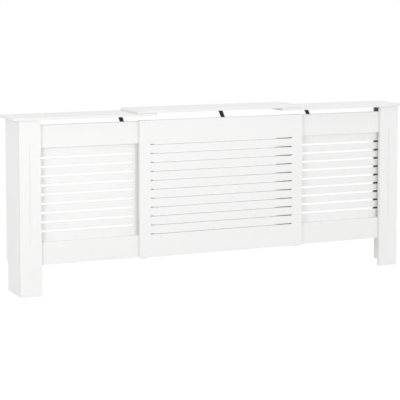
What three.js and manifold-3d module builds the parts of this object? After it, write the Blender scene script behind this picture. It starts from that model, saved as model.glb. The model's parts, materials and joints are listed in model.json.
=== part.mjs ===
// Extendable radiator cover cabinet.
// A centre bridge (middle top and slotted front panel) lies over two end sections,
// which slide in under its top and behind its panel until their inner ends nearly meet.
// Millimetres, +Z up, the front faces -Y, the origin is on the floor under the middle.
import * as THREE from 'three';
import { mergeVertices } from 'three/addons/utils/BufferGeometryUtils.js';
import Module from 'manifold-3d';

const wasm = await Module();
wasm.setup();

// ---- Driving dimensions ----
// Overall
const height = 815;                // floor to the upper face of the middle top
const body_depth = 215;            // front of the pilasters to the back edge of the side panels
const front_overhang = 15;         // of all three tops, in front of the pilasters
const end_overhang = 30;           // of the end tops, past the side panels
// The end sections' reach and how far they are drawn out
const side_reach = 650;            // outer face of a side panel to its section's inner end
const left_short = 4;              // short of its outward stop, as photographed
const right_short = 40;
// Board thicknesses
const top_thickness = 12;
const front_thickness = 18;        // pilasters
const side_thickness = 15;
const rail_thickness = 15;
const slotted_thickness = 6;
// Clearances
const running_gap = 0.5;           // between the sliding faces of the bridge and the end sections
const seat_gap = 0.3;              // round a screw and under its head
// Fronts
const pilaster_width = 100;
const panel_bottom = 137.5;        // floor to the lower edge of an end section's front
const rail_height = 102;
const vent_gap = 25;               // left for warm air between the end sections' fronts and tops
const centre_rise = 4;             // how far the centre panel stands above the end rails
const centre_length = 836;
const middle_top_reach = 4;        // past each end of the centre panel
const middle_top_shift = 10;       // the middle top sits this far left of the panel's middle
// Slots and grooves
const slot_pitch = 41.4;
const side_slot_height = 10;
const side_slot_cover = 24;        // how far the slots run in behind the pilaster
const side_slot_stile = 97;        // plain width from the slots to the section's inner end
const side_slot_margin = 30;       // least height from a rail to the middle of a slot
const centre_slot_height = 5;
const centre_slot_margin = 95;     // least height from the panel's edge to the middle of a slot
const centre_stile = 53;           // plain width beside the centre slots
const groove_width = 10;
const groove_depth = 4;
const groove_foot = 224;           // plain height under the groove
const groove_head = 106.5;         // plain height over it
// Skirting notch at the foot of the back edge
const notch_depth = 22;
const notch_height = 136;
const notch_radius = 8;
// Eased edges
const ease = 1.5;
const top_corner = 3;
// Battens and blocks inside
const batten = 20;
const cleat_height = 18;
const cleat_length = 100;
const stile_width = 38;            // inner stile, which also stops the outward slide
const stile_depth = 18;
const block_width = 60;            // of the blocks behind the centre panel, which part the closed sections
const block_depth = 18;
const end_setback = 10;            // battens stop short of the boards' ends
// Black steel stays and strips
const stay_width = 20;
const stay_thickness = 3;
const stay_bend = 3;               // radius inside a bend
const stay_hold = 65;              // from the top rail's upper edge down to the tab's lower end
const stay_shelf = 46;             // tab screwed under the top
const stay_bend_drop = 38;         // from the top's underside down to the lower bend
const left_stay_inset = 147;       // from the section's inner end
const right_stay_inset = 175;
const centre_stay_place = 18;      // from the middle of the bridge
const strip_width = 36;
const strip_thickness = 3;
const strip_rear_setback = 15;     // from the side panel's back edge
const strip_lower = 150;
// Guide clips that hook the end sections to the centre panel
const clip_width = 30;
const clip_thickness = 2;
const clip_bend = 1;               // radius inside a bend
const clip_setback = 8;            // from the centre panel's end
const clip_lip = 6;                // wood left in front of the rebate
const upper_hook = 9;              // hooks behind the slotted board
const lower_hook = 24;
// Screws
const shank = 3.6;
const head = 7;
const head_height = 2.2;
const tab_screw = 20;              // through tab and slotted board into the rail
const top_screw = 10;
const strip_screw = 13;
const clip_screw = 16;
const facets = 12;
const bend_steps = 4;
const tab_screws = [0.44, 0.78];   // places down a stay's hold, as shares of it
const shelf_screws = [0.4, 0.8];   // places along its shelf
const strip_screws = [0.1, 0.9];   // places up a rear strip
const overcut = 1;                 // how far a cutter stands out of what it cuts

// ---- Derived places ----
const depth = body_depth + front_overhang;
const front_face = front_overhang - depth / 2;
const back_edge = depth / 2;
const rail_front = front_face + front_thickness;
const rail_back = rail_front + rail_thickness;
const slotted_back = rail_back + slotted_thickness;
const middle_under = height - top_thickness;
const side_top_upper = middle_under - running_gap;
const side_under = side_top_upper - top_thickness;
const panel_top = side_under - vent_gap;
const centre_bottom = panel_bottom - running_gap;
const centre_top = panel_top + centre_rise;
const slot_middle = (panel_bottom + panel_top) / 2;
const centre_back = rail_front - running_gap;
const groove_upper = side_under - groove_head;
const strip_upper = side_under - cleat_height - running_gap;
const slots_between = (space, margin) => Math.floor((space - 2 * margin) / slot_pitch) + 1;
const side_slots = slots_between(panel_top - panel_bottom - 2 * rail_height, side_slot_margin);
const centre_slots = slots_between(panel_top - panel_bottom, centre_slot_margin);
// An end section is stopped outwards where its inner stile meets the clips' hooks.
const stop_overlap = clip_setback + clip_width + stile_width;
const left_outer = -(centre_length / 2 - stop_overlap - left_short + side_reach);
const right_outer = centre_length / 2 - stop_overlap - right_short + side_reach;
const bridge_middle = -(left_outer + right_outer) / 2;   // the bridge's place once the whole is centred

// ---- Finishes ----
const white_paint = { color: 0xf1f1ee, roughness: 0.42, metalness: 0 };
const bare_pine = { color: 0xd9bd8e, roughness: 0.75, metalness: 0 };
const black_steel = { color: 0x1b1c1e, roughness: 0.5, metalness: 0.3 };
const zinc = { color: 0xb9bcc0, roughness: 0.35, metalness: 1 };

// ---- Solids and surfaces ----
function solid(geometry) {
  const bare = geometry.clone();
  bare.deleteAttribute('normal');
  bare.deleteAttribute('uv');
  const merged = mergeVertices(bare, 1e-4);
  return new wasm.Manifold(new wasm.Mesh({
    numProp: 3,
    vertProperties: Float32Array.from(merged.attributes.position.array),
    triVerts: Uint32Array.from(merged.index.array),
  }));
}

function surface(manifold) {
  const mesh = manifold.getMesh();
  const geometry = new THREE.BufferGeometry();
  geometry.setAttribute('position', new THREE.BufferAttribute(mesh.vertProperties, 3));
  geometry.setIndex(new THREE.BufferAttribute(mesh.triVerts, 1));
  geometry.computeVertexNormals();
  return geometry;
}

function cut(geometry, cutters) {
  let result = solid(geometry);
  for (const cutter of cutters) result = result.subtract(solid(cutter));
  return surface(result);
}

function piece(name, finish, geometry) {
  const mesh = new THREE.Mesh(geometry, new THREE.MeshStandardMaterial(finish));
  mesh.name = name;
  return mesh;
}

// A plain board between two corners, given as ranges along X, Y and Z.
function board(x, y, z) {
  const geometry = new THREE.BoxGeometry(Math.abs(x[1] - x[0]), y[1] - y[0], z[1] - z[0]);
  return geometry.translate((x[0] + x[1]) / 2, (y[0] + y[1]) / 2, (z[0] + z[1]) / 2);
}

// An outline drawn in Y and Z, carried along X.
function along_x(outline, x) {
  const lower = Math.min(...x);
  const length = Math.abs(x[1] - x[0]);
  const straight = { depth: length, bevelEnabled: false, curveSegments: 6 };
  const geometry = new THREE.ExtrudeGeometry(outline, straight);
  const turn = new THREE.Matrix4().makeBasis(
    new THREE.Vector3(0, 1, 0), new THREE.Vector3(0, 0, 1), new THREE.Vector3(1, 0, 0));
  return geometry.applyMatrix4(turn).translate(lower, 0, 0);
}

// An outline drawn in X and Z, carried from the back face to the front face.
function along_y(outline, y) {
  const straight = { depth: y[1] - y[0], bevelEnabled: false, curveSegments: 8 };
  const geometry = new THREE.ExtrudeGeometry(outline, straight);
  const turn = new THREE.Matrix4().makeBasis(
    new THREE.Vector3(1, 0, 0), new THREE.Vector3(0, 0, 1), new THREE.Vector3(0, -1, 0));
  return geometry.applyMatrix4(turn).translate(0, y[1], 0);
}

function rectangle(a, b) {
  return new THREE.Shape([
    new THREE.Vector2(a[0], b[0]), new THREE.Vector2(a[1], b[0]),
    new THREE.Vector2(a[1], b[1]), new THREE.Vector2(a[0], b[1])]);
}

function rounded_rectangle(a, b, radius) {
  const shape = new THREE.Shape();
  shape.absarc(a[1] - radius, b[0] + radius, radius, -Math.PI / 2, 0, false);
  shape.absarc(a[1] - radius, b[1] - radius, radius, 0, Math.PI / 2, false);
  shape.absarc(a[0] + radius, b[1] - radius, radius, Math.PI / 2, Math.PI, false);
  shape.absarc(a[0] + radius, b[0] + radius, radius, Math.PI, Math.PI * 1.5, false);
  return shape;
}

// A routed slot with round ends, as wide as the cutter.
function slot(x, middle, slot_height) {
  const radius = slot_height / 2;
  const path = new THREE.Path();
  path.absarc(x[0] + radius, middle, radius, Math.PI / 2, Math.PI * 1.5, false);
  path.absarc(x[1] - radius, middle, radius, -Math.PI / 2, Math.PI / 2, false);
  return path;
}

// A board pierced by evenly pitched slots about the slots' middle height.
function pierced(x, z, slot_x, count, slot_height, y) {
  const outline = rectangle(x, z);
  for (let i = 0; i < count; i += 1) {
    const level = slot_middle + ((count - 1) / 2 - i) * slot_pitch;
    outline.holes.push(slot(slot_x, level, slot_height));
  }
  return along_y(outline, y);
}

// A top board with eased edges and slightly rounded corners.
function top_board(x, lower) {
  const outline = rounded_rectangle(
    [Math.min(...x) + ease, Math.max(...x) - ease], [-depth / 2 + ease, depth / 2 - ease], top_corner);
  const geometry = new THREE.ExtrudeGeometry(outline, {
    depth: top_thickness - 2 * ease, bevelThickness: ease, bevelSize: ease,
    bevelSegments: 2, curveSegments: 3,
  });
  return geometry.translate(0, 0, lower + ease);
}

// A strip of metal bent along a line of (Y, Z) points: the line is one face of the metal,
// and the other face lies its thickness away, to the left for +1 and the right for -1.
// A bend turns about one middle, with the given radius inside and the thickness more outside.
function bent_strip(line, thickness, side, bend, x) {
  const run_of = (i) => line[i + 1].clone().sub(line[i]).normalize();
  const normal_of = (i) => run_of(i).rotateAround(new THREE.Vector2(), side * Math.PI / 2);
  const last = line.length - 1;
  const near = [];
  const far = [];
  const add = (point, normal) => {
    near.push(point);
    far.push(point.clone().addScaledVector(normal, thickness));
  };
  add(line[0], normal_of(0));
  for (let i = 1; i < last; i += 1) {
    const [before, after] = [normal_of(i - 1), normal_of(i)];
    const turn = Math.atan2(before.cross(after), before.dot(after));
    const inward = Math.sign(turn) * side;
    const radius = inward > 0 ? bend + thickness : bend;
    const middle = line[i].clone()
      .addScaledVector(run_of(i - 1), -radius * Math.tan(Math.abs(turn) / 2))
      .addScaledVector(before, inward * radius);
    for (let step = 0; step <= bend_steps; step += 1) {
      const normal = before.clone().rotateAround(new THREE.Vector2(), turn * step / bend_steps);
      add(middle.clone().addScaledVector(normal, -inward * radius), normal);
    }
  }
  add(line[last], normal_of(last - 1));
  return along_x(new THREE.Shape([...near, ...far.reverse()]), x);
}

// ---- Screws ----
// Pan head on the near side of the metal, its shank running along `way` into the wood.
function turned(profile, at, way) {
  const points = profile.map(([radius, along]) => new THREE.Vector2(radius, along));
  const geometry = new THREE.LatheGeometry(points, facets);
  const turn = new THREE.Quaternion().setFromUnitVectors(new THREE.Vector3(0, 1, 0), way);
  return geometry.applyQuaternion(turn).translate(at.x, at.y, at.z);
}

function screw(name, finish, { at, way, length }) {
  const head_top = -head_height - seat_gap;
  const profile = [
    [0, head_top], [head / 3, head_top], [head / 2, -head_height / 2], [head / 2, -seat_gap],
    [shank / 2, -seat_gap], [shank / 2, length - shank], [0, length]];
  return piece(name, finish, turned(profile, at, way));
}

function bore({ at, way, length }) {
  const radius = shank / 2 + seat_gap;
  const [near, far] = [-overcut, length + seat_gap];
  return turned([[0, near], [radius, near], [radius, far], [0, far]], at, way);
}

const forward = new THREE.Vector3(0, -1, 0);
const upward = new THREE.Vector3(0, 0, 1);
const downward = new THREE.Vector3(0, 0, -1);

// The two pairs of screws of a stay, whose tab lies against `face` and whose shelf is under `under`.
function stay_screws(x, face, under, tab_length) {
  const shelf_start = face + stay_bend_drop;
  const lower = tab_screws.map((share) => ({
    at: new THREE.Vector3(x, face + stay_thickness, panel_top - stay_hold * share),
    way: forward, length: tab_length,
  }));
  const upper = shelf_screws.map((share) => ({
    at: new THREE.Vector3(x, shelf_start + stay_shelf * share, under - stay_thickness),
    way: upward, length: top_screw,
  }));
  return [...lower, ...upper];
}

function stay(x, face, under, screws) {
  const shelf_start = face + stay_bend_drop;
  const line = [
    new THREE.Vector2(face, panel_top - stay_hold), new THREE.Vector2(face, under - stay_bend_drop),
    new THREE.Vector2(shelf_start, under), new THREE.Vector2(shelf_start + stay_shelf, under)];
  const strip = bent_strip(line, stay_thickness, -1, stay_bend, [x - stay_width / 2, x + stay_width / 2]);
  return cut(strip, screws.map(bore));
}

// ---- One end section ----
// Its group stands at the side panel's outer face; `inward` is +1 on the left and -1 on the right.
function end_section(name, inward, outer, stay_inset) {
  const group = new THREE.Group();
  group.position.x = outer;
  const from = (a, b) => (inward > 0 ? [a, b] : [-b, -a]);
  const add = (part, finish, geometry) => group.add(piece(`${name}_${part}`, finish, geometry));

  const stay_x = inward * (side_reach - stay_inset);
  const fixings = stay_screws(stay_x, slotted_back, side_under, tab_screw);
  const [tab_fixings, shelf_fixings] = [fixings.slice(0, 2), fixings.slice(2)];
  const strip_back = back_edge - strip_rear_setback;
  const outward = new THREE.Vector3(-inward, 0, 0);
  const strip_fixings = strip_screws.map((share) => ({
    at: new THREE.Vector3(
      inward * (side_thickness + strip_thickness), strip_back - strip_width / 2,
      strip_lower + (strip_upper - strip_lower) * share),
    way: outward, length: strip_screw,
  }));

  // Casing
  const top_x = from(-end_overhang, side_reach);
  add('top', white_paint, cut(top_board(top_x, side_under), shelf_fixings.map(bore)));

  const side = new THREE.Shape();
  side.moveTo(rail_front, 0);
  side.lineTo(back_edge - notch_depth, 0);
  side.lineTo(back_edge - notch_depth, notch_height - notch_radius);
  side.absarc(
    back_edge - notch_depth + notch_radius, notch_height - notch_radius, notch_radius,
    Math.PI, Math.PI / 2, true);
  side.lineTo(back_edge, notch_height);
  side.lineTo(back_edge, side_under);
  side.lineTo(rail_front, side_under);
  add('side_panel', white_paint, cut(along_x(side, from(0, side_thickness)), strip_fixings.map(bore)));

  // Pilaster with a stopped round-bottomed groove down its middle
  const groove_radius = (groove_width ** 2 / 4 + groove_depth ** 2) / (2 * groove_depth);
  const groove_length = groove_upper - groove_foot - groove_width;
  const groove = new THREE.CapsuleGeometry(groove_radius, groove_length, 4, 16).rotateX(Math.PI / 2);
  groove.translate(
    inward * pilaster_width / 2, front_face + groove_depth - groove_radius, (groove_foot + groove_upper) / 2);
  const [edge_a, edge_b] = from(0, pilaster_width);
  const pilaster = new THREE.Shape();
  pilaster.moveTo(edge_b, rail_front);
  pilaster.lineTo(edge_a, rail_front);
  pilaster.absarc(edge_a + ease, front_face + ease, ease, Math.PI, Math.PI * 1.5, false);
  pilaster.absarc(edge_b - ease, front_face + ease, ease, Math.PI * 1.5, Math.PI * 2, false);
  const blank = new THREE.ExtrudeGeometry(
    pilaster, { depth: side_under, bevelEnabled: false, curveSegments: 3 });
  add('pilaster', white_paint, cut(blank, [groove]));

  // Front: two rails with the thin slotted board behind them
  const rail_x = from(side_thickness, side_reach);
  const rail_y = [rail_front, rail_back];
  const top_rail = board(rail_x, rail_y, [panel_top - rail_height, panel_top]);
  add('top_rail', white_paint, cut(top_rail, tab_fixings.map(bore)));
  add('bottom_rail', white_paint, board(rail_x, rail_y, [panel_bottom, panel_bottom + rail_height]));
  const slotted = pierced(
    rail_x, [panel_bottom, panel_top], from(pilaster_width - side_slot_cover, side_reach - side_slot_stile),
    side_slots, side_slot_height, [rail_back, slotted_back]);
  add('slotted_board', white_paint, cut(slotted, tab_fixings.map(bore)));

  // Battens and blocks that hold the boards together
  const corner_x = from(side_thickness, side_thickness + batten);
  add('corner_batten', bare_pine, board(
    corner_x, [slotted_back, slotted_back + batten], [end_setback, panel_top - end_setback]));
  add('leg_block', bare_pine, board(
    corner_x, [rail_front, slotted_back], [end_setback, panel_bottom - end_setback]));
  add('front_cleat', bare_pine, board(
    from(side_thickness, pilaster_width - end_setback), [rail_front, slotted_back],
    [side_under - cleat_height, side_under]));
  add('top_cleat', bare_pine, board(
    corner_x, [slotted_back + batten, slotted_back + batten + cleat_length],
    [side_under - cleat_height, side_under]));
  add('inner_stile', white_paint, board(
    from(side_reach - stile_width, side_reach), [slotted_back, slotted_back + stile_depth],
    [panel_bottom + end_setback, panel_top - end_setback]));

  // Black steel: the stay from the front up to the top's inner end, and the strip down the back
  add('stay', black_steel, stay(stay_x, slotted_back, side_under, fixings));
  const strip = board(
    from(side_thickness, side_thickness + strip_thickness), [strip_back - strip_width, strip_back],
    [strip_lower, strip_upper]);
  add('rear_strip', black_steel, cut(strip, strip_fixings.map(bore)));
  fixings.forEach((fixing, i) => group.add(screw(`${name}_stay_screw_${i + 1}`, black_steel, fixing)));
  strip_fixings.forEach((fixing, i) => group.add(screw(`${name}_strip_screw_${i + 1}`, black_steel, fixing)));
  return group;
}

// ---- The bridge in the middle ----
function bridge() {
  const group = new THREE.Group();
  const add = (name, finish, geometry) => group.add(piece(name, finish, geometry));
  const half = centre_length / 2;
  const clip_y = (centre_back + front_face + clip_lip) / 2;

  const block_back = rail_front + block_depth;
  const fixings = stay_screws(centre_stay_place, block_back, middle_under, tab_screw);
  const [tab_fixings, shelf_fixings] = [fixings.slice(0, 2), fixings.slice(2)];

  // Each clip hooks over or under the end section's rail and down behind its slotted board.
  const hook_face = slotted_back + running_gap;
  const clip_level = panel_top + running_gap;
  const clips = [];
  for (const [side_name, way] of [['left', -1], ['right', 1]]) {
    const middle = way * (half - clip_setback - clip_width / 2);
    const x = [middle - clip_width / 2, middle + clip_width / 2];
    const screw_x = [middle - clip_width / 4, middle + clip_width / 4];
    clips.push({
      name: `${side_name}_upper_clip`, x, side: 1,
      line: [[front_face + clip_lip + seat_gap, clip_level], [hook_face, clip_level],
        [hook_face, clip_level - upper_hook]],
      fixings: screw_x.map((at_x) => ({
        at: new THREE.Vector3(at_x, clip_y, clip_level + clip_thickness), way: downward, length: clip_screw,
      })),
    });
    clips.push({
      name: `${side_name}_lower_clip`, x, side: -1,
      line: [[front_face + clip_lip + seat_gap, centre_bottom], [hook_face, centre_bottom],
        [hook_face, centre_bottom + lower_hook]],
      fixings: screw_x.map((at_x) => ({
        at: new THREE.Vector3(at_x, clip_y, centre_bottom - clip_thickness), way: upward, length: clip_screw,
      })),
    });
  }

  const top_half = half + middle_top_reach;
  const top_x = [-top_half - middle_top_shift, top_half - middle_top_shift];
  add('middle_top', white_paint, cut(top_board(top_x, middle_under), shelf_fixings.map(bore)));

  // Panel flush with the pilasters, rebated for the upper clips behind a lip
  const panel = pierced(
    [-half, half], [centre_bottom, centre_top], [centre_stile - half, half - centre_stile],
    centre_slots, centre_slot_height, [front_face, centre_back]);
  const rebates = clips.filter((clip) => clip.side > 0).map((clip) => board(
    [clip.x[0] - seat_gap, clip.x[1] + seat_gap], [front_face + clip_lip, centre_back + overcut],
    [clip_level, centre_top + overcut]));
  const panel_bores = clips.flatMap((clip) => clip.fixings).concat(tab_fixings).map(bore);
  add('centre_panel', white_paint, cut(panel, [...rebates, ...panel_bores]));
  const block = (z) => board([-block_width / 2, block_width / 2], [centre_back, block_back], z);
  const upper_block = block([panel_top - rail_height, centre_top - ease]);
  add('upper_block', bare_pine, cut(upper_block, tab_fixings.map(bore)));
  add('lower_block', bare_pine, block([centre_bottom + end_setback, panel_bottom + rail_height - ease]));
  add('centre_stay', black_steel, stay(centre_stay_place, block_back, middle_under, fixings));

  for (const clip of clips) {
    const line = clip.line.map(([y, z]) => new THREE.Vector2(y, z));
    const strip = bent_strip(line, clip_thickness, clip.side, clip_bend, clip.x);
    add(clip.name, zinc, cut(strip, clip.fixings.map(bore)));
    clip.fixings.forEach((fixing, i) => group.add(screw(`${clip.name}_screw_${i + 1}`, zinc, fixing)));
  }
  fixings.forEach((fixing, i) => group.add(screw(`centre_stay_screw_${i + 1}`, black_steel, fixing)));
  return group;
}

const cabinet = new THREE.Group();
cabinet.position.x = bridge_middle;
cabinet.add(bridge());
cabinet.add(end_section('left', 1, left_outer, left_stay_inset));
cabinet.add(end_section('right', -1, right_outer, right_stay_inset));

export default cabinet;
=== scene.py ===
# %% [markdown]
# # A drawn-out radiator cover cabinet
#
# The cabinet is a bridge, made of a middle top and a slotted front panel, that lies over two end
# sections. The sections slide in under the bridge to suit the radiator's length. Everything that
# shows is painted fibreboard. Pine battens, black steel stays and zinc-plated clips hold it together.
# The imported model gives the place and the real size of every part, so it is loaded first.

# %% Load the model
import json

import bmesh
import bpy
import numpy as np
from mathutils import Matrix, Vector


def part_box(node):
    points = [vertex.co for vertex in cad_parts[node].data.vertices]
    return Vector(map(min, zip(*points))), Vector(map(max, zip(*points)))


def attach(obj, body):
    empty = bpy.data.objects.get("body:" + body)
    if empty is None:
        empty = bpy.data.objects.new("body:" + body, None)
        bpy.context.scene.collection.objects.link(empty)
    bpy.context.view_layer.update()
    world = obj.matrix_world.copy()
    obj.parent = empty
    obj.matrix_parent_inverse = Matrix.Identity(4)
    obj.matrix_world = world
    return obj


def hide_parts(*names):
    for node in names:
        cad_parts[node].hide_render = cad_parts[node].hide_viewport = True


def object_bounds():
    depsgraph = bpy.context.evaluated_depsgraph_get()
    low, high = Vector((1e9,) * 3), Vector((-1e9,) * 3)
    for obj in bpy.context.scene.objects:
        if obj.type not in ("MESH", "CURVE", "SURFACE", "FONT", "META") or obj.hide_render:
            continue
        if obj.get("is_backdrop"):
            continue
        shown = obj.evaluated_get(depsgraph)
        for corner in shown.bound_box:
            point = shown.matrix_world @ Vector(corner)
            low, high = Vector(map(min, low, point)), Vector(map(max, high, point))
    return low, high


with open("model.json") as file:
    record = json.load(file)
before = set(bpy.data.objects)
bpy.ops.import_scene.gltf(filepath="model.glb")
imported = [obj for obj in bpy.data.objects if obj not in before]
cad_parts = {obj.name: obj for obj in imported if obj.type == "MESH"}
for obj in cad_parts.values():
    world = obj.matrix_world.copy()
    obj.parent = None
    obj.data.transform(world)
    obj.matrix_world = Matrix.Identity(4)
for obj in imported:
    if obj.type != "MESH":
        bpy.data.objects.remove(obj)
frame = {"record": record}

cad_bounds = [[float(v) for v in corner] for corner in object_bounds()]
print("model from", cad_bounds[0], "to", cad_bounds[1])

# %% [markdown]
# ## Camera
#
# The photograph is taken from the left with a long lens, a good way off and from above the cabinet.
# Its upright edges stay nearly upright, which a lens shift gives: the camera looks less far down than
# the object lies, and the shift brings it back into the frame.

# %% Camera
camera_place = (-2.7696, -6.1374, 1.3744)
camera_turn = 23.854         # degrees from straight ahead towards the right
camera_dip = 4.500           # degrees below level
focal_pixels = 1428.4        # focal length in pixels of the picture
picture_side = 400.0
lens_shift = -0.25           # of the picture's side
sensor_width = 36.0          # millimetres
view_end = 60.0              # metres

lens = bpy.data.cameras.new("camera")
lens.sensor_width = sensor_width
lens.lens = focal_pixels * sensor_width / picture_side
lens.shift_y = lens_shift
lens.clip_end = view_end
camera = bpy.data.objects.new("camera", lens)
camera.location = camera_place
camera.rotation_euler = np.radians((90.0 - camera_dip, 0.0, -camera_turn))
bpy.context.scene.collection.objects.link(camera)
bpy.context.scene.camera = camera
print("lens of", round(lens.lens, 1), "mm")

# %% [markdown]
# ## From arrays to meshes
#
# Every board and fitting is a surface that numpy works out as whole arrays. A ring is a closed row of
# points, and rings joined one to the next by quads are a skin. A sheet is an open grid of points.
# Boxes with booleans would be quicker to write, but they leave long thin triangles round every slot,
# which spoil the bevels and the shading. Grids put the edges where the shape needs them.

# %% Skins and sheets
mm = 0.001


def grid_quads(rows, columns, closed):
    """Corner numbers of the quads of a grid of points: point c of row r has the number r times the columns
    plus c. A closed grid's last column joins its first."""
    first = np.arange(rows - 1)[:, None] * columns + np.arange(columns if closed else columns - 1)
    beside = first + 1
    if closed:
        beside[:, -1] -= columns
    return np.stack([first, beside, beside + columns, first + columns], axis=-1).reshape(-1, 4)


def skin(rings, caps=True):
    """Rings of equally many points joined by quads, with a flat face over each end if caps is true."""
    rings = np.asarray(rings, float)
    count, around = rings.shape[:2]
    faces = grid_quads(count, around, closed=True).tolist()
    if caps:
        faces += [list(range(around)), list(range((count - 1) * around, count * around))]
    return rings.reshape(-1, 3), faces


def sheet(points):
    """An open grid of points, as (rows, columns, 3), with quads between its neighbours."""
    points = np.asarray(points, float)
    return points.reshape(-1, 3), grid_quads(*points.shape[:2], closed=False).tolist()


def polygon(points):
    """One flat face."""
    points = np.asarray(points, float)
    return points, [list(range(len(points)))]


def rectangle(u, v):
    """The corners of the rectangle between two spans."""
    return np.array([(u[0], v[0]), (u[1], v[0]), (u[1], v[1]), (u[0], v[1])])


def place(first, second, third, axis):
    """Arrays of coordinates as points: first and second lie across the axis, in X, Y, Z order, and third
    along it."""
    parts = [first, second]
    parts.insert(axis, third)
    return np.stack(np.broadcast_arrays(*parts), axis=-1)


def carried(outline, axis, span):
    """A flat outline carried straight along an axis, from span[0] to span[1], and closed at both ends."""
    return skin([place(outline[:, 0], outline[:, 1], level, axis) for level in span])


square = rectangle((-1.0, 1.0), (-1.0, 1.0))
print("a box is a skin of", len(carried(square, 2, (0.0, 1.0))[1]), "faces")

# %% [markdown]
# ## Rounded outlines
#
# Boards and steel have corners that were eased with a known radius. An outline is given by its plain
# corners, and each becomes an arc that runs into both sides without a kink.

# %% Rounded outlines
arc_steps = 6


def rounded(corners, radii):
    """A closed outline whose corner i is an arc of radii[i] that touches both of its sides. With unit
    vectors p and q along the sides, the arc's ends lie r / tan(half the corner's angle) from the corner,
    and its middle lies on the bisector, r / sin(half the angle) away. Between its ends the arc turns
    evenly, by sines of the two shares of the turn. A radius of 0 keeps the corner."""
    corners = np.asarray(corners, float)
    outline = []
    for before, at, after, radius in zip(np.roll(corners, 1, 0), corners, np.roll(corners, -1, 0), radii):
        if radius == 0:
            outline.append(at[None])
            continue
        p, q = ((end - at) / np.linalg.norm(end - at) for end in (before, after))
        half = np.arccos(np.clip(p @ q, -1, 1)) / 2
        middle = at + (p + q) / np.linalg.norm(p + q) * radius / np.sin(half)
        start, end = at + p * radius / np.tan(half) - middle, at + q * radius / np.tan(half) - middle
        share = np.linspace(0, 1, arc_steps + 1)[:, None]
        turn = np.pi - 2 * half
        arc = (np.sin((1 - share) * turn) * start + np.sin(share * turn) * end) / np.sin(turn)
        outline.append(middle + arc)
    return np.concatenate(outline)


print("a square with round corners has", len(rounded(square, [0.1] * 4)), "points")

# %% [markdown]
# ## One closed mesh
#
# Several skins and sheets make one piece. Where they meet, their points lie at the same place, so
# they are merged, and the faces are turned outwards. An edge that hasn't got two faces would be a hole.

# %% Merged mesh
merge_distance = 0.002 * mm


def merged_mesh(name, parts):
    """One smooth mesh of skins and sheets, each given as its points and faces."""
    points = np.concatenate([own for own, _ in parts])
    starts = np.cumsum([0] + [len(own) for own, _ in parts[:-1]])
    faces = [[corner + start for corner in face] for (_, own), start in zip(parts, starts) for face in own]
    mesh = bpy.data.meshes.new(name)
    mesh.from_pydata(points.tolist(), [], faces)
    shape = bmesh.new()
    shape.from_mesh(mesh)
    bmesh.ops.remove_doubles(shape, verts=shape.verts, dist=merge_distance)
    bmesh.ops.recalc_face_normals(shape, faces=shape.faces)
    open_edges = sum(not edge.is_manifold for edge in shape.edges)
    if open_edges:
        print("open edges in", name, open_edges)
    shape.to_mesh(mesh)
    shape.free()
    mesh.shade_smooth()
    return mesh


# %% [markdown]
# ## From meshes to finished pieces
#
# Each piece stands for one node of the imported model. It rides on the node's body, takes the node's
# place, and gets its finish from the same slot of the record. A narrow bevel softens the arrises,
# because no real board has a perfectly sharp one, and normals weighted by area keep the large faces
# flat beside it.

# %% Finished pieces
least_sharp = np.radians(32.0)
area_weight = 100                # the largest face decides the shading at a corner
slot_of = {part["node"]: part["material_slot"] for part in frame["record"]["subparts"]}
body_of = {node: body for body, nodes in frame["record"]["behaviour"]["bodies"].items() for node in nodes}
pieces = {}


def box_span(node):
    """The node's spans along X, Y and Z, as three (low, high) pairs in metres."""
    return list(zip(*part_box(node)))


def make_piece(node, parts, arris, segments=3):
    """One finished piece that stands for a CAD node. With an arris width its sharp edges are rounded, and
    without one they are only shaded as sharp."""
    mesh = merged_mesh("fine_" + node, parts)
    piece = bpy.data.objects.new("fine_" + node, mesh)
    bpy.context.scene.collection.objects.link(piece)
    if arris:
        bevel = piece.modifiers.new("arris", "BEVEL")
        bevel.width = arris
        bevel.segments = segments
        bevel.limit_method = "ANGLE"
        bevel.angle_limit = least_sharp
        bevel.use_clamp_overlap = False
    else:
        mesh.set_sharp_from_angle(angle=least_sharp)
    shading = piece.modifiers.new("shading", "WEIGHTED_NORMAL")
    shading.weight = area_weight
    shading.keep_sharp = True
    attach(piece, body_of[node])
    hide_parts(node)
    pieces[node] = piece


# %% [markdown]
# ## Tops
#
# The three tops are boards 12 mm thick whose edges were rounded over with a router and whose corners
# were eased. The outline has the corner arcs, and the bevel makes the rounded edge all the way round.

# %% Tops
top_corner = 3 * mm
top_edge = 1.5 * mm
for node in ("left_top", "middle_top", "right_top"):
    x, y, z = box_span(node)
    outline = rounded(rectangle(x, y), [top_corner] * 4)
    make_piece(node, [carried(outline, 2, z)], top_edge, segments=4)
print("tops", [round(float(np.ptp(box_span(node)[0])), 3) for node in pieces], "m long")

# %% [markdown]
# ## Plain boards and side panels
#
# Rails, stiles, battens and blocks are plain boards. Paint leaves a fine arris on fibreboard, and the
# planed pine behind it is eased more. A side panel has a notch at the foot of its back edge, which
# clears the skirting board, and the jigsaw left a small radius in the notch's inner corner.

# %% Plain boards and side panels
board_arris = 0.5 * mm
pine_arris = 1.2 * mm
notch_depth = 22 * mm
notch_height = 136 * mm
notch_radius = 8 * mm


def plain_board(node, arris, axis=1):
    """A board with square corners, as large as the node's box."""
    spans = box_span(node)
    u, v = (spans[i] for i in range(3) if i != axis)
    make_piece(node, [carried(rectangle(u, v), axis, spans[axis])], arris)


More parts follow.
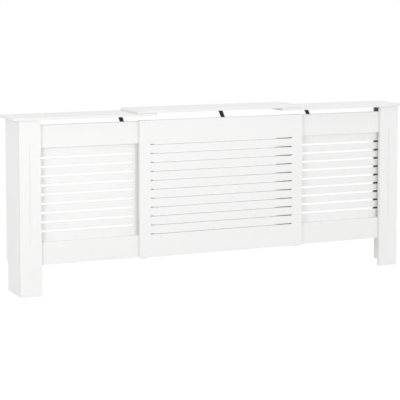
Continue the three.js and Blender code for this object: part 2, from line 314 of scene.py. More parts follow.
for side in ("left", "right"):
    for part in ("top_rail", "bottom_rail", "inner_stile"):
        plain_board(f"{side}_{part}", board_arris)
    for part in ("corner_batten", "leg_block", "front_cleat", "top_cleat"):
        plain_board(f"{side}_{part}", pine_arris)
    x, y, z = box_span(f"{side}_side_panel")
    notch = y[1] - notch_depth
    corners = [(y[0], z[0]), (notch, z[0]), (notch, z[0] + notch_height),
               (y[1], z[0] + notch_height), (y[1], z[1]), (y[0], z[1])]
    outline = rounded(corners, [0, 0, notch_radius, 0, 0, 0])
    make_piece(f"{side}_side_panel", [carried(outline, 0, x)], board_arris)
plain_board("upper_block", pine_arris)
plain_board("lower_block", pine_arris)
print(len(pieces), "pieces with the plain boards")

# %% [markdown]
# ## Slotted boards
#
# The slots were routed, so their ends are half circles. Along a slot its outline is a half height above
# and below the middle line, given at columns that stand dense where the ends are round.

# %% Slits
end_steps = 8
hold = 1 * mm                    # columns this far inside a round end keep the straight part straight


def slit(span, radius, reach=None):
    """Columns along a slot and the half height there: r sin(a) at r cos(a) from the middle of an end's
    half circle, with a from 0 to a right angle, and r along the straight part. A smaller reach draws
    the whole outline in towards the slot's middle line."""
    reach = radius if reach is None else reach
    angle = np.linspace(0, np.pi / 2, end_steps + 1)
    low, high = span[0] + radius, span[1] - radius
    columns = np.concatenate([low - reach * np.cos(angle), [low + hold, high - hold],
                              high + reach * np.cos(angle[::-1])])
    halves = reach * np.concatenate([np.sin(angle), [1.0, 1.0], np.sin(angle[::-1])])
    return columns, halves


def around_slit(columns, halves, level):
    """The slit's outline as a closed ring: along its lower side and back along its upper side."""
    along = np.concatenate([columns, columns[-2:0:-1]])
    across = np.concatenate([level - halves, (level + halves)[-2:0:-1]])
    return along, across


example = slit((0.0, 20 * mm), 5 * mm)[0]
print("a slot 20 mm long has", len(example), "columns, the first at", np.round(example[:4] / mm, 2), "mm")

# %% [markdown]
# ## Faces between the slots
#
# A face with slots is hard to build from one big polygon. Here it is cut into bands that run between
# the slots: a band's lower side follows the top of one slot and its upper side follows the bottom of
# the next. Beyond a slot's ends the two sides meet again. One list of columns serves every band.

# %% Slotted faces
def slotted_faces(u, v, slot, radius, levels, depths, axis, flip=False, extra=()):
    """Faces with slots at each depth, the slots' walls between them, the columns, the border's ring of
    (u, v) points and the function that turns such points into places. u runs along the slots and v
    across them. Band k lies between slot k - 1 and slot k. Extra columns lie beyond the slots' ends."""
    inner, half = slit(slot, radius)
    marks = np.sort([u[0], *extra, u[1]])
    before, after = marks[marks < slot[0]], marks[marks > slot[1]]
    columns = np.concatenate([before, inner, after])
    halves = np.concatenate([0 * before, half, 0 * after])
    lower = np.array([np.full_like(columns, v[0])] + [level + halves for level in levels])
    upper = np.array([level - halves for level in levels] + [np.full_like(columns, v[1])])

    def points(along, across, depth):
        pair = (across, along) if flip else (along, across)
        return place(*pair, depth, axis)

    parts = [sheet(points(columns, np.stack([low, high]), depth))
             for depth in depths for low, high in zip(lower, upper)]
    for level in levels:
        ring = around_slit(inner, half, level)
        parts.append(skin([points(*ring, depth) for depth in depths], caps=False))
    levels = np.asarray(levels)
    low, high, sides = np.full_like(columns, v[0]), np.full_like(columns, v[1]), np.ones_like(levels)
    border = (np.concatenate([columns, sides * u[1], columns[::-1], sides * u[0]]),
              np.concatenate([low, levels, high, levels[::-1]]))
    return parts, columns, border, points


example = slotted_faces((0.0, 0.1), (0.0, 0.1), (0.02, 0.08), 5 * mm, [0.03, 0.07], [0.0], axis=1)
print("a face with two slots is", len(example[0]) - 2, "bands of", len(example[1]) - 1, "quads")

# %% [markdown]
# ## The end sections' slotted boards
#
# These thin boards lie behind the rails and close each end section's front. Their slots run in behind
# the pilaster, so only their inner round ends show. As many slots as fit stand about the middle of the
# opening between the rails, all at the same pitch as those in the centre panel.

# %% End sections' slotted boards
slot_pitch = 41.4 * mm
side_slot_radius = 5 * mm
side_slot_margin = 30 * mm       # least height from a rail to the middle of a slot
side_slot_cover = 24 * mm        # the slots run in behind the pilaster
side_slot_stile = 97 * mm        # plain width at the section's inner end


def slot_levels(v, margin):
    """Heights of the slots: as many as fit with the margin left over and under them, about the middle."""
    count = int((v[1] - v[0] - 2 * margin) / slot_pitch) + 1
    return sum(v) / 2 + (np.arange(count) - (count - 1) / 2) * slot_pitch


rail_height = float(np.ptp(box_span("left_top_rail")[2]))
for side in ("left", "right"):
    node = f"{side}_slotted_board"
    x, y, z = box_span(node)
    pilaster = box_span(f"{side}_pilaster")[0]
    if side == "left":
        slot = (pilaster[1] - side_slot_cover, x[1] - side_slot_stile)
    else:
        slot = (x[0] + side_slot_stile, pilaster[0] + side_slot_cover)
    levels = slot_levels((z[0] + rail_height, z[1] - rail_height), side_slot_margin)
    parts, _, border, points = slotted_faces(x, z, slot, side_slot_radius, levels, y, axis=1)
    parts.append(skin([points(*border, depth) for depth in y], caps=False))
    make_piece(node, parts, board_arris)
print(len(levels), "slots in an end section's board")

# %% [markdown]
# ## Centre panel
#
# The panel is thicker than the boards behind it and its slots are narrow, so from above one looks down
# on their lower walls. Its upper edge has two rebates for the guide clips, cut from behind so that the
# front keeps a lip. The slotted slab ends at the level of the rebates' floors, open above, so only
# three sides of its border are built. The strip over it is a profile in Y and Z that is carried from
# column to column: over a rebate it steps down behind the lip.

# %% Centre panel
centre_slot_radius = 2.5 * mm
centre_slot_margin = 95 * mm
centre_slot_stile = 53 * mm
clip_lip = 6 * mm
clip_thickness = 2 * mm
rebate_gap = 0.3 * mm


def rebated_strip(columns, y, lip, floor, top, rebates):
    """The slab's upper strip with its rebates' floors and walls, from the level of their floors up."""
    parts = []
    for low, high in zip(columns[:-1], columns[1:]):
        cut = any(start <= low < end for start, end in rebates)
        tail = [(lip, floor), (y[1], floor)] if cut else [(y[1], top), (y[1], floor)]
        profile = np.array([(y[0], floor), (y[0], top), (lip, top), *tail])
        parts.append(sheet([place(profile[:, 0], profile[:, 1], x, 0) for x in (low, high)]))
    wall = np.array([(lip, floor), (y[1], floor), (y[1], top), (lip, top)])
    parts += [polygon(place(wall[:, 0], wall[:, 1], x, 0)) for rebate in rebates for x in rebate]
    end = np.array([(y[0], floor), (y[1], floor), (y[1], top), (lip, top), (y[0], top)])
    parts += [polygon(place(end[:, 0], end[:, 1], x, 0)) for x in (columns[0], columns[-1])]
    return parts


x, y, z = box_span("centre_panel")
clips = [box_span(f"{side}_upper_clip") for side in ("left", "right")]
rebates = [(clip[0][0] - rebate_gap, clip[0][1] + rebate_gap) for clip in clips]
rebate_floor = clips[0][2][1] - clip_thickness
slot = (x[0] + centre_slot_stile, x[1] - centre_slot_stile)
levels = slot_levels(box_span("left_slotted_board")[2], centre_slot_margin)
parts, columns, border, points = slotted_faces(
    x, (z[0], rebate_floor), slot, centre_slot_radius, levels, y, axis=1, extra=np.ravel(rebates))
along, up = len(columns), len(levels)
# the border from its upper left corner down, along the foot and up to its upper right corner
three_sides = np.roll(np.array(border), 1 - 2 * along - up, axis=1)[:, :along + 2 * up + 2]
parts.append(sheet([points(*three_sides, depth) for depth in y]))
parts += rebated_strip(columns, y, y[0] + clip_lip, rebate_floor, z[1], rebates)
make_piece("centre_panel", parts, board_arris)
print(len(levels), "slots in the centre panel")

# %% [markdown]
# ## Pilasters
#
# A pilaster has rounded front edges and one stopped groove with a round bottom, made by a plunging
# round cutter. The front is again a face with a slit, this time upright. From its rim the groove goes
# down in rings: at an angle a from straight down, the cutter of radius R reaches R sin(a) to each side
# and lies R cos(a) - (R - depth) below the face, so the rings shrink to the groove's middle line.

# %% Pilasters
groove_half_width = 5 * mm
groove_depth = 4 * mm
groove_foot = 224 * mm
groove_head = 106.5 * mm
groove_steps = 7
front_edge = 1.5 * mm
pilaster_arris = 0.4 * mm
cutter_radius = (groove_half_width**2 + groove_depth**2) / (2 * groove_depth)
rim_angle = np.arcsin(groove_half_width / cutter_radius)

for side in ("left", "right"):
    node = f"{side}_pilaster"
    x, y, z = box_span(node)
    middle = sum(x) / 2
    groove = (z[0] + groove_foot, z[1] - groove_head)
    flat_front = (x[0] + front_edge, x[1] - front_edge)
    parts, stations, _, points = slotted_faces(
        z, flat_front, groove, groove_half_width, [middle], y[:1], axis=1, flip=True)
    rings = []
    for angle in np.linspace(rim_angle, 0, groove_steps + 1):
        reach = cutter_radius * np.sin(angle)
        below = cutter_radius * np.cos(angle) - (cutter_radius - groove_depth)
        rim = around_slit(*slit(groove, groove_half_width, reach), middle)
        rings.append(points(*rim, y[0] + below))
    parts.append(skin(rings, caps=False))
    corners = [(x[0], y[1]), (x[0], y[0]), (x[1], y[0]), (x[1], y[1])]
    outline = rounded(corners, [0, front_edge, front_edge, 0])
    outline = np.roll(outline, -(len(outline) // 2), axis=0)
    parts.append(sheet(place(outline[:, 0], outline[:, 1], stations[:, None], 2)))
    end = np.concatenate([outline, [(middle, y[0])]])
    parts += [polygon(place(end[:, 0], end[:, 1], level, 2)) for level in z]
    make_piece(node, parts, pilaster_arris)
print("groove cut with a radius of", round(cutter_radius / mm, 3), "mm")

# %% [markdown]
# ## Bent steel
#
# Stays and guide clips are flat steel, cut to length with rounded corners and bent over a former. One
# face of the bar is a line with arcs, the other lies the thickness away along the line's normals, and
# the bar is that pair of lines as wide as the steel. Near its ends the width draws in by the corners'
# quarter circles.

# %% Bent bars
steel_arris = 0.35 * mm
corner_steps = 5
bend_steps = 8


def bent_line(corners, radius, side, corner):
    """Stations along a line of (Y, Z) corners joined by arcs: points, unit normals to the left of the way
    (side 1) or to its right (-1), and how far the width is drawn in. Near an end, at r - r cos(a) from
    it, a corner of radius r takes off r - r sin(a)."""
    corners = np.asarray(corners, float)
    runs = np.diff(corners, axis=0)
    runs /= np.linalg.norm(runs, axis=1)[:, None]
    normals = side * np.stack([-runs[:, 1], runs[:, 0]], axis=1)
    angle = np.linspace(0, np.pi / 2, corner_steps + 1)[:, None]
    from_end, off = corner * (1 - np.cos(angle)), corner * (1 - np.sin(angle[:, 0]))
    stations = [(corners[0] + runs[0] * from_end, np.repeat(normals[:1], len(angle), 0), off)]
    for at, run, before, after in zip(corners[1:-1], runs, normals, normals[1:]):
        turn = np.arctan2(before[0] * after[1] - before[1] * after[0], before @ after)
        inward = np.sign(turn) * side
        middle = at - run * radius * np.tan(abs(turn) / 2) + before * inward * radius
        swept = np.linspace(0, turn, bend_steps + 1)
        normal = np.stack([np.cos(swept) * before[0] - np.sin(swept) * before[1],
                           np.sin(swept) * before[0] + np.cos(swept) * before[1]], axis=1)
        stations.append((middle - normal * inward * radius, normal, 0 * swept))
    last = np.repeat(normals[-1:], len(angle), 0)
    stations.append((corners[-1] - runs[-1] * from_end[::-1], last, off[::-1]))
    return [np.concatenate(column) for column in zip(*stations)]


def bent_bar(node, corners, radius, side, thickness, corner):
    """A flat bar across the node's width in X, one face on the line through the (Y, Z) corners and the
    other the thickness away along the line's normals."""
    x = box_span(node)[0]
    line, normals, off = bent_line(corners, radius, side, corner)
    half = (x[1] - x[0]) / 2 - off
    across = sum(x) / 2 + half[:, None] * np.array([-1, 1, 1, -1])
    lift = thickness * np.array([0, 0, 1, 1])
    section = line[:, None, :] + lift[:, None] * normals[:, None, :]
    make_piece(node, [skin(place(section[..., 0], section[..., 1], across, 0))], steel_arris)


print("a bend has", bend_steps + 1, "stations and a rounded end", corner_steps + 1)

# %% [markdown]
# ## Stays, strips and clips
#
# A stay's tab is screwed to the front, then the bar leans back and its shelf carries the top's inner
# end. Its outside face is the line, so the bends' outer radius is the former's radius and the steel's
# thickness. The rear strips are straight. A guide clip lies in or under the centre panel's edge and
# hooks round the end section's rail, and there the line is the inside face.

# %% Stays, strips and clips
stay_bend_drop = 38 * mm         # from the top's underside down to the lower bend
stay_thickness = 3 * mm
stay_bend = 3 * mm
stay_corner = 3 * mm
strip_corner = 4 * mm
clip_bend = 1 * mm
clip_corner = 2 * mm

for node in ("left_stay", "centre_stay", "right_stay"):
    _, y, z = box_span(node)
    line = [(y[0], z[0]), (y[0], z[1] - stay_bend_drop), (y[0] + stay_bend_drop, z[1]), (y[1], z[1])]
    bent_bar(node, line, stay_bend + stay_thickness, -1, stay_thickness, stay_corner)
for side in ("left", "right"):
    for level, way in (("upper", 1), ("lower", -1)):
        _, y, z = box_span(f"{side}_{level}_clip")
        outer, tip = z[::-way]
        inside, back = outer - way * clip_thickness, y[1] - clip_thickness
        line = [(y[0], inside), (back, inside), (back, tip)]
        bent_bar(f"{side}_{level}_clip", line, clip_bend, way, clip_thickness, clip_corner)
    x, y, z = box_span(f"{side}_rear_strip")
    outline = rounded(rectangle(y, z), [strip_corner] * 4)
    make_piece(f"{side}_rear_strip", [carried(outline, 0, x)], steel_arris)
print(len(pieces), "pieces with the steel")

# %% [markdown]
# ## Screws
#
# A pan-head screw is almost a turned part, so it is a stack of rings round its axis. The recess isn't
# round: a cross is the union of two bars, and at an angle its edge lies at the larger of the two bars'
# edges. The rings' angles hit the cross's corners exactly, so that its walls are flat. The head's dome
# is a short list of radii and depths in millimetres. Along the shank the radius follows a ridge that
# winds once round for each pitch.

# %% Screws
head_height = 2.2 * mm
shank_radius = 1.8 * mm
core_radius = 1.25 * mm
thread_pitch = 1.5 * mm
thread_steps = 5                 # rings to a pitch
ridge_share = 0.4                # of the pitch, at the foot of the thread's ridge
tip_length = 4 * mm
tip_radius = 0.05 * mm
thread_end = 0.5 * mm            # the thread runs out this far before the tip
bar_half_width = 0.55 * mm
bar_half_length = 2.1 * mm
recess_depth = 1.3 * mm
recess_taper = 0.75
dome = [(2.45, 0.0), (2.9, 0.16), (3.25, 0.5), (3.45, 1.0), (3.5, 1.5), (3.5, 2.2), (1.8, 2.2)]
tiny = 1e-9

corner_angle = np.arctan2(bar_half_width, bar_half_length)
quarter = np.array([0, corner_angle, np.pi / 6, np.pi / 4, np.pi / 3, np.pi / 2 - corner_angle])
around = (quarter + np.arange(4)[:, None] * np.pi / 2).ravel()


def screw_rings(length):
    """Radius and depth of every ring's points, from the bottom of the recess over the head to the tip. A
    bar's edge lies at the lesser of half its length over |cos a| and half its width over |sin a|. The
    thread's ridge is a triangle over the phase, which is depth / pitch less a share of the turn."""
    cosine, sine = np.abs(np.cos(around)) + tiny, np.abs(np.sin(around)) + tiny
    cross = np.maximum(*(np.minimum(bar_half_length / a, bar_half_width / b)
                         for a, b in ((cosine, sine), (sine, cosine))))
    radii, depths = [cross * recess_taper, cross], [recess_depth, 0.0]
    for radius, depth in dome:
        radii.append(np.full_like(around, radius * mm))
        depths.append(depth * mm)
    along = np.arange(head_height, length - thread_end, thread_pitch / thread_steps)[1:]
    phase = (along[:, None] / thread_pitch - around / (2 * np.pi)) % 1
    ridge = np.clip(1 - np.abs(phase - 0.5) * 2 / ridge_share, 0, 1)
    taper = np.clip((length - along[:, None]) / tip_length, 0, 1)
    thread = (core_radius + (shank_radius - core_radius) * ridge) * taper
    radii = np.concatenate([radii, thread, np.full((1, len(around)), tip_radius)])
    depths = np.concatenate([depths, along, [length]])
    return radii, depths


def screw(node, axis, way):
    """A screw in the node's box, its tip along the axis in the given way."""
    spans = box_span(node)
    first, second = (sum(span) / 2 for i, span in enumerate(spans) if i != axis)
    low, high = spans[axis]
    radii, depths = screw_rings(high - low)
    start = low if way > 0 else high
    rings = place(first + radii * np.cos(around), second + radii * np.sin(around),
                  start + way * depths[:, None], axis)
    make_piece(node, [skin(rings)], None)


for node in sorted(node for node in slot_of if "screw" in node):
    if "strip" in node:
        screw(node, 0, -1 if node.startswith("left") else 1)
    elif "clip" in node:
        screw(node, 2, -1 if "upper" in node else 1)
    elif node[-1] in "12":
        screw(node, 1, -1)
    else:
        screw(node, 2, 1)
print(len(pieces), "pieces of", len(slot_of), "nodes")

# %% [markdown]
# ## Building materials
#
# Materials are node trees, and a few short helpers keep them readable. What two finishes share is a
# group with named sockets: the slight unevenness of a sprayed coat is on the white paint and on the
# black powder coat, and the same mask of faces serves the painted boards, the pine and the steel.
# Everything reads Object coordinates, in metres, so a pattern has the same real size on every piece.

# %% Node helpers
def add_node(tree, kind, inputs=None, **settings):
    """A node with its properties set; an input takes a plain value or the output it is linked from."""
    made = tree.nodes.new(kind)
    for key, value in settings.items():
        setattr(made, key, value)
    for key, value in (inputs or {}).items():
        if isinstance(value, bpy.types.NodeSocket):
            tree.links.new(value, made.inputs[key])
        else:
            made.inputs[key].default_value = value
    return made


def math(tree, operation, *values, clamp=False):
    """The output of one arithmetic node."""
    made = add_node(tree, "ShaderNodeMath", dict(enumerate(values)), operation=operation, use_clamp=clamp)
    return made.outputs[0]


def vector_math(tree, operation, *values):
    """One vector node; an input takes an output or three numbers."""
    return add_node(tree, "ShaderNodeVectorMath", dict(enumerate(values)), operation=operation).outputs


def noise(tree, position, scale, detail):
    """Soft noise, mostly from 0.3 to 0.7, with about as many lumps to a metre as the scale."""
    entries = {"Vector": position, "Scale": scale, "Detail": detail}
    return add_node(tree, "ShaderNodeTexNoise", entries).outputs["Fac"]


def stretched(tree, position, scale, shift=(0.0, 0.0, 0.0)):
    """The position with each coordinate multiplied by its scale and then shifted."""
    entries = {"Vector": position, "Scale": list(scale), "Location": list(shift)}
    return add_node(tree, "ShaderNodeMapping", entries).outputs[0]


def bumped(tree, surface, height, strength, distance):
    """Links the relief to the surface: a height from 0 to 1 rises by the distance in metres."""
    bump = add_node(tree, "ShaderNodeBump", {"Height": height, "Strength": strength, "Distance": distance})
    tree.links.new(bump.outputs[0], surface["Normal"])


def mixed(tree, share, first, second):
    """The colour between two colours."""
    made = add_node(tree, "ShaderNodeMix", data_type="RGBA")
    for key, value in (("Factor_Float", share), ("A_Color", first), ("B_Color", second)):
        entry = next(socket for socket in made.inputs if socket.identifier == key)
        if isinstance(value, bpy.types.NodeSocket):
            tree.links.new(value, entry)
        else:
            entry.default_value = value
    return next(socket for socket in made.outputs if socket.identifier == "Result_Color")


# %% [markdown]
# ## Groups and materials
#
# A group is made once and placed in each material that needs it, so a finish stays a short recipe. A
# material keeps its own Principled shader, and the helper hands out that shader's sockets.

# %% Groups and materials
number, vector = "NodeSocketFloat", "NodeSocketVector"


def new_group(name, inputs, outputs):
    """A shader node group with named sockets, and its input and output nodes."""
    group = bpy.data.node_groups.new(name, "ShaderNodeTree")
    for label, kind in inputs.items():
        group.interface.new_socket(label, in_out="INPUT", socket_type=kind)
    for label, kind in outputs.items():
        group.interface.new_socket(label, in_out="OUTPUT", socket_type=kind)
    return group, group.nodes.new("NodeGroupInput").outputs, group.nodes.new("NodeGroupOutput").inputs


def new_material(name):
    """A material, its tree, its Principled shader's inputs, and the coordinates."""
    material = bpy.data.materials.new(name)
    material.use_nodes = True
    tree = material.node_tree
    surface = tree.nodes["Principled BSDF"].inputs
    return material, tree, surface, add_node(tree, "ShaderNodeTexCoord").outputs


# %% [markdown]
# ## The mask of faces
#
# Boards lie square to the axes. So the normal tells what part of a board a point is on: on a broad
# face it points along the thickness, on a sawn edge it lies square to it, and on a rounded arris it
# points along no axis at all. Its largest component is 1 on a flat face and 0.71 on the middle of an
# arris.

# %% Mask of faces
arris_gain = 3.4                 # brings the 0.29 that the middle of an arris lacks up to 1

mask, given, out = new_group(
    "faces", {"Normal": vector, "Thickness": vector}, {"Edge": number, "Arris": number})
along = vector_math(mask, "DOT_PRODUCT", given["Normal"], given["Thickness"])["Value"]
broad = math(mask, "ABSOLUTE", along)
mask.links.new(math(mask, "SUBTRACT", 1.0, broad, clamp=True), out["Edge"])
size = vector_math(mask, "ABSOLUTE", given["Normal"])[0]
parts_of = add_node(mask, "ShaderNodeSeparateXYZ", {0: size}).outputs
largest = math(mask, "MAXIMUM", math(mask, "MAXIMUM", parts_of[0], parts_of[1]), parts_of[2])
off_axis = math(mask, "SUBTRACT", 1.0, largest)
mask.links.new(math(mask, "MULTIPLY", off_axis, arris_gain, clamp=True), out["Arris"])


def faces_of(tree, place_of, thickness=(0.0, 0.0, 0.0)):
    """The mask's outputs in a material, for a board whose thickness lies along the given unit vector."""
    entries = {"Normal": place_of["Normal"], "Thickness": thickness}
    return add_node(tree, "ShaderNodeGroup", entries, node_tree=mask).outputs


print("group", mask.name, "gives", [socket.name for socket in out if socket.name])

# %% [markdown]
# ## A sprayed coat
#
# A sprayed film isn't quite even. It has the fine dimples of orange peel, a few millimetres across,
# and it is a little thinner here and thicker there in soft clouds as wide as a hand.

# %% Sprayed coat
peel_detail = 1.5
fine_ratio = 4.7                 # the finer dimples are this much smaller
fine_share = 0.25                # and this much shallower
cloud_scale = 6.0                # clouds to a metre

coat, given, out = new_group(
    "sprayed_coat", {"Place": vector, "Peel size": number}, {"Height": number, "Cloud": number})
peel = noise(coat, given["Place"], given["Peel size"], peel_detail)
fine = noise(coat, given["Place"], math(coat, "MULTIPLY", given["Peel size"], fine_ratio), 1.0)
coat.links.new(math(coat, "MULTIPLY_ADD", fine, fine_share, peel), out["Height"])
coat.links.new(noise(coat, given["Place"], cloud_scale, 2.0), out["Cloud"])


def film_of(tree, place_of, peel_size):
    """The coat's outputs in a material, with about as many dimples to a metre as the peel size."""
    entries = {"Place": place_of["Object"], "Peel size": peel_size}
    return add_node(tree, "ShaderNodeGroup", entries, node_tree=coat).outputs


print("group", coat.name, "gives", [socket.name for socket in out if socket.name])

# %% [markdown]
# ## White paint on fibreboard
#
# The boards are white all over in a satin paint. Their sawn and routed edges drink more of it, so there
# the film is rougher, shows the pressed fibres as fine lines in the board's plane, and is a trace
# greyer. On the arrises the film is thinnest. The edge's lines follow the board's thickness, so
# there is one material for each way that a board can lie.

# %% White paint
white = (0.915, 0.915, 0.911, 1.0)
white_shade = (0.900, 0.900, 0.895, 1.0)
edge_white = (0.885, 0.884, 0.874, 1.0)
satin = 0.37
satin_cloud = 0.10               # how much rougher the clouds make it
satin_edge = 0.13                # how much rougher a cut edge is
paint_peel = 420.0
fibre_scale = 260.0
fibre_stretch = 14.0             # fibres are this much finer across the thickness than along the board
fibre_height = 1.6               # over the peel's
paint_relief = (0.22, 0.00012)   # strength, and depth in metres


def finish_white(axis):
    """Satin white on a board whose thickness lies along the axis."""
    thickness = np.eye(3)[axis]
    material, tree, surface, place_of = new_material(f"white_paint_{'xyz'[axis]}")
    faces = faces_of(tree, place_of, thickness.tolist())
    film = film_of(tree, place_of, paint_peel)
    body = mixed(tree, film["Cloud"], white_shade, white)
    worn = math(tree, "MAXIMUM", faces["Edge"], faces["Arris"])
    tree.links.new(mixed(tree, worn, body, edge_white), surface["Base Color"])
    rough = math(tree, "MULTIPLY_ADD", film["Cloud"], satin_cloud, satin)
    tree.links.new(math(tree, "MULTIPLY_ADD", faces["Edge"], satin_edge, rough), surface["Roughness"])
    along = stretched(tree, place_of["Object"], 1.0 + thickness * (fibre_stretch - 1.0))
    pressed = math(tree, "MULTIPLY", noise(tree, along, fibre_scale, 3.0), faces["Edge"])
    height = math(tree, "MULTIPLY_ADD", pressed, fibre_height, film["Height"])
    bumped(tree, surface, height, *paint_relief)
    return material


white_materials = [finish_white(axis) for axis in range(3)]
print([material.name for material in white_materials])

# %% [markdown]
# ## Pine
#
# The battens were sawn from planks. Growth rings are tubes round the pith, which lies outside the
# batten, so a face cut along the tree shows them as long stripes and a cut end shows arcs. The distance
# from the pith gives the ring: its part past the whole number grows from the pale early wood to the
# brown late wood. Noise stretched along the grain lets the stripes wander, and fine streaks are fibres.

# %% Pine
early_wood = (0.790, 0.610, 0.375, 1.0)
late_wood = (0.610, 0.395, 0.190, 1.0)
rings_to_metre = 330.0
late_growth = 2.6                # how late in a ring the wood darkens
pith_offset = (0.031, -0.047)    # metres from the piece's middle lines to the pith, across the grain
grain_stretch = 0.07             # along the grain a metre counts as this much
wander_scale = 16.0
wander_reach = 0.011             # metres
streak_scale = 900.0
streak_share = 0.7
planed = 0.66                    # roughness of early wood
late_polish = -0.14              # late wood is harder and takes a polish
arris_rough = 0.1
late_height = -0.6               # late wood stands behind the streaks
wood_relief = (0.35, 0.0003)


def finish_pine(axis, middle):
    """Planed pine whose grain runs along the axis and whose pith passes beside the middle point. A ring's
    number is the distance from the pith times the rings to a metre."""
    material, tree, surface, place_of = new_material(f"planed_pine_{'xyz'[axis]}")
    scale, shift, across = np.ones(3), -np.asarray(middle, float), np.ones(3)
    scale[axis], across[axis] = grain_stretch, 0.0
    shift[across > 0] += pith_offset
    shift[axis] *= grain_stretch
    along = stretched(tree, place_of["Object"], scale, shift)
    reach = vector_math(tree, "LENGTH", vector_math(tree, "MULTIPLY", along, across.tolist())[0])["Value"]
    bent = math(tree, "MULTIPLY_ADD", noise(tree, along, wander_scale, 2.0), wander_reach, reach)
    ring = math(tree, "FRACT", math(tree, "MULTIPLY", bent, rings_to_metre))
    late = math(tree, "POWER", ring, late_growth)
    streak = noise(tree, along, streak_scale, 2.0)
    shade = math(tree, "MULTIPLY_ADD", math(tree, "SUBTRACT", streak, 0.5), streak_share, late, clamp=True)
    tree.links.new(mixed(tree, shade, early_wood, late_wood), surface["Base Color"])
    rough = math(tree, "MULTIPLY_ADD", shade, late_polish, planed)
    arris = faces_of(tree, place_of)["Arris"]
    tree.links.new(math(tree, "MULTIPLY_ADD", arris, arris_rough, rough), surface["Roughness"])
    bumped(tree, surface, math(tree, "MULTIPLY_ADD", shade, late_height, streak), *wood_relief)
    return material


darker = [round(late / early, 2) for late, early in zip(late_wood[:3], early_wood)]
print("late wood is", darker, "of early wood's red, green and blue")

# %% [markdown]
# ## Black powder coat
#
# Powder is sprayed on dry and baked, which leaves a coarser peel than paint, a soft gloss, and a
# film that draws back from sharp edges. The arrises are painted lighter: a thinner film there and a
# painted highlight. The screws are black too.

# %% Powder coat
powder_black = (0.010, 0.010, 0.011, 1.0)
powder_cloud = (0.018, 0.018, 0.019, 1.0)
# the arrises' colour: a thinner film and a painted highlight
powder_arris_thin_and_highlit = (0.045, 0.045, 0.047, 1.0)
arris_highlight_share = 0.5
powder_gloss = 0.44
powder_gloss_cloud = 0.14
powder_peel = 900.0
powder_relief = (0.45, 0.0002)

black, tree, surface, place_of = new_material("black_powder_coat")
film = film_of(tree, place_of, powder_peel)
# the arrises are painted lighter, for the thinner film and as a painted highlight
thin_arris_highlight = math(tree, "MULTIPLY", faces_of(tree, place_of)["Arris"], arris_highlight_share)
dark = mixed(tree, film["Cloud"], powder_black, powder_cloud)
tree.links.new(mixed(tree, thin_arris_highlight, dark, powder_arris_thin_and_highlit), surface["Base Color"])
rough = math(tree, "MULTIPLY_ADD", film["Cloud"], powder_gloss_cloud, powder_gloss)
tree.links.new(rough, surface["Roughness"])
bumped(tree, surface, film["Height"], *powder_relief)
print(black.name, "has", len(tree.nodes), "nodes")

# %% [markdown]
# ## Zinc plating
#
# The guide clips are bare metal under a thin coat of zinc. Its crystals show as faint patches of
# different brightness and sharpness, and rubbing on the rails has polished them in fine lines. The
# same crystal gives the patch its brightness and its roughness.

# %% Zinc
zinc_dark = (0.56, 0.57, 0.59, 1.0)
zinc_bright = (0.68, 0.69, 0.71, 1.0)
crystal_scale = 260.0            # crystals to a metre
crystal_share = 0.8
zinc_rough = 0.26
crystal_rough = 0.12
rub_stretch = (60.0, 1.0, 1.0)
rub_scale = 60.0
rub_rough = 0.12
arris_polish = -0.08
rub_relief = (0.15, 0.0001)

zinc, tree, surface, place_of = new_material("zinc_plate")
surface["Metallic"].default_value = 1.0
crystal = add_node(tree, "ShaderNodeTexVoronoi", {"Vector": place_of["Object"], "Scale": crystal_scale})
shade = add_node(tree, "ShaderNodeSeparateColor", {0: crystal.outputs["Color"]}).outputs[0]
tree.links.new(mixed(tree, math(tree, "MULTIPLY", shade, crystal_share), zinc_dark, zinc_bright),
               surface["Base Color"])
rubbed = noise(tree, stretched(tree, place_of["Object"], rub_stretch), rub_scale, 3.0)
rough = math(tree, "MULTIPLY_ADD", shade, crystal_rough, zinc_rough)
rough = math(tree, "MULTIPLY_ADD", rubbed, rub_rough, rough)
arris = faces_of(tree, place_of)["Arris"]
tree.links.new(math(tree, "MULTIPLY_ADD", arris, arris_polish, rough), surface["Roughness"])
bumped(tree, surface, rubbed, *rub_relief)
print(zinc.name, "has", len(tree.nodes), "nodes")

# %% [markdown]
# ## One finish to each piece
#
# The record's slot says what a piece is made of. A board's thickness is its smallest side, and a
# batten's grain runs along its longest side. Each batten gets its own pith, so no two look alike.

# %% Finishes
for node, piece in pieces.items():
    low, high = (np.array(corner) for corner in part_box(node))
    slot = slot_of[node]
    if slot == "white_board":
        finish = white_materials[int(np.argmin(high - low))]
    elif slot == "bare_pine":
        finish = finish_pine(int(np.argmax(high - low)), (low + high) / 2)
    else:
        finish = zinc if slot == "zinc_steel" else black
    piece.data.materials.append(finish)
print(len(bpy.data.materials), "materials")

# %% [markdown]
# ## The world
#
# The cabinet stands on plain white in an even, soft light, most of which comes from the world's plain
# grey all around. To the camera and in reflections the world is pure white, which Light Path tells
# apart, so a white background costs no extra light on the paint, and the paint doesn't clip.

# %% World
world_fill = 0.81
plain_white = (1.0, 1.0, 1.0, 1.0)


def seen_directly(tree):
    """1 for rays from the camera, from a reflection or through glass, and 0 for light that fills."""
    path = add_node(tree, "ShaderNodeLightPath").outputs
    pair = math(tree, "MAXIMUM", path["Is Camera Ray"], path["Is Glossy Ray"])
    return math(tree, "MAXIMUM", pair, path["Is Transmission Ray"])


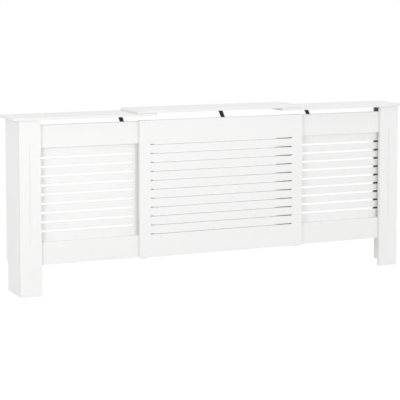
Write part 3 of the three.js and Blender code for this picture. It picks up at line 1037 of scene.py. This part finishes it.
scene = bpy.context.scene
scene.view_settings.view_transform = "Standard"
scene.world = bpy.data.worlds.new("studio")
scene.world.use_nodes = True
sky = scene.world.node_tree
sky.nodes.clear()
fill = add_node(sky, "ShaderNodeBackground", {"Color": plain_white, "Strength": world_fill})
seen = add_node(sky, "ShaderNodeBackground", {"Color": plain_white, "Strength": 1.0})
either = {0: seen_directly(sky), 1: fill.outputs[0], 2: seen.outputs[0]}
choice = add_node(sky, "ShaderNodeMixShader", either)
add_node(sky, "ShaderNodeOutputWorld", {"Surface": choice.outputs[0]})
print("the world fills with", world_fill, "of the white that shows")

# %% [markdown]
# ## Floor
#
# The floor is white paper. It throws light back up under the cabinet like any white floor, but the
# camera sees it glow, with only a breath of the cabinet's shadow left on it.

# %% Floor
half_floor = 30.0
floor_glow = 0.93
floor_shade = 0.10               # how much of the light and shadow on the floor the camera sees
floor_white = 0.8

floor = bpy.data.objects.new("floor", bpy.data.meshes.new("floor"))
corners = place(*(square * half_floor).T, 0.0, 2)
floor.data.from_pydata(corners.tolist(), [], [(0, 1, 2, 3)])
scene.collection.objects.link(floor)
floor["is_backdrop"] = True
paper = bpy.data.materials.new("floor")
paper.use_nodes = True
tree = paper.node_tree
tree.nodes.clear()
matt, shaded = (add_node(tree, "ShaderNodeBsdfDiffuse", {"Color": (grey, grey, grey, 1.0)}).outputs[0]
                for grey in (floor_white, floor_shade))
glow = add_node(tree, "ShaderNodeEmission", {"Color": plain_white, "Strength": floor_glow})
lit = add_node(tree, "ShaderNodeAddShader", {0: shaded, 1: glow.outputs[0]})
choice = add_node(tree, "ShaderNodeMixShader", {0: seen_directly(tree), 1: matt, 2: lit.outputs[0]})
add_node(tree, "ShaderNodeOutputMaterial", {"Surface": choice.outputs[0]})
floor.data.materials.append(paper)
print("floor", 2 * half_floor, "m wide")

# %% [markdown]
# ## Soft lamps
#
# Three square lamps give the faces their different levels. The key lamp stands close on the left, so
# its shadows get longer towards the right. It isn't mirrored in anything, or the satin tops would show
# its glare from behind. A front lamp evens out the length and shines into the slots, and a weak one
# hangs over the right end.

# %% Soft lamps
def soft_lamp(name, spot, target, size, power, mirrored=True):
    """A square lamp at the spot that faces the target. Unless mirrored it lights but shows in no sheen."""
    lamp = bpy.data.lights.new(name, "AREA")
    lamp.shape = "SQUARE"
    lamp.size = size
    lamp.energy = power
    holder = bpy.data.objects.new(name, lamp)
    away = np.array(target) - spot
    rise = np.arctan2(away[2], np.hypot(away[0], away[1]))
    holder.location = spot
    holder.rotation_euler = (np.pi / 2 + rise, 0.0, -np.arctan2(away[0], away[1]))
    holder.visible_glossy = mirrored
    scene.collection.objects.link(holder)
    print(name, "lamp", round(float(np.linalg.norm(away)), 2), "m away")


cabinet_middle = (0.0, -0.1, 0.5)
soft_lamp("key", (-2.9, -2.6, 1.5), cabinet_middle, 0.7, 24.0, mirrored=False)
soft_lamp("front", (1.6, -5.6, 1.25), cabinet_middle, 1.0, 33.0)
soft_lamp("overhead", (1.9, -0.6, 3.2), cabinet_middle, 2.0, 7.0)

# %% [markdown]
# ## Finish
#
# The box of what shows is printed, like that of the imported model at the start, so that the two can be
# compared.

# %% Sizes
visual_bounds = [[float(v) for v in corner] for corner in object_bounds()]
print("shown from", visual_bounds[0], "to", visual_bounds[1])
